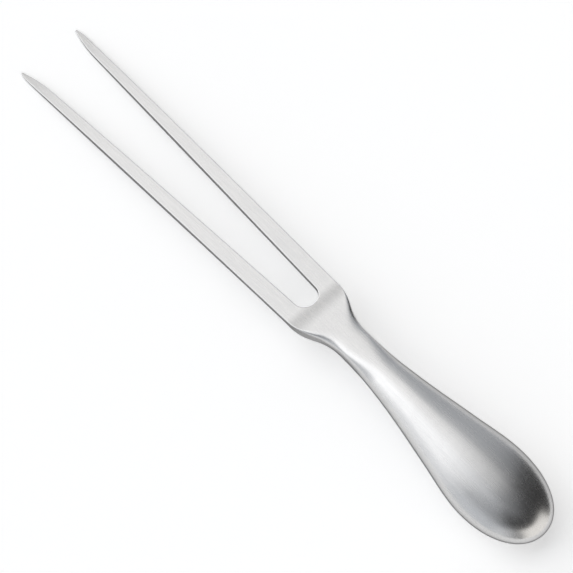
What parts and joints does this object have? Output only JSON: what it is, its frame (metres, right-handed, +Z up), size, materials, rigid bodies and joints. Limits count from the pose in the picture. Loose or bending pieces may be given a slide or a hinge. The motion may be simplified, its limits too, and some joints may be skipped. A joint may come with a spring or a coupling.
{
  "type": "carving fork",
  "caption": "Satin steel carving fork with long straight tines and a flattened teardrop handle, all in one piece.",
  "frame": {"origin": "bottom centre of the bounding box, on the surface that the fork lies on", "axes": "+X from the butt of the handle to the tine points, +Y across the tines, +Z up, out of the top face of the fork as it lies"},
  "size_m": [0.28, 0.034, 0.019],
  "materials": {
    "steel": "satin, finely brushed along the length"
  },
  "bodies": {
    "root": {"carving_fork": "steel"}
  },
  "joints": []
}
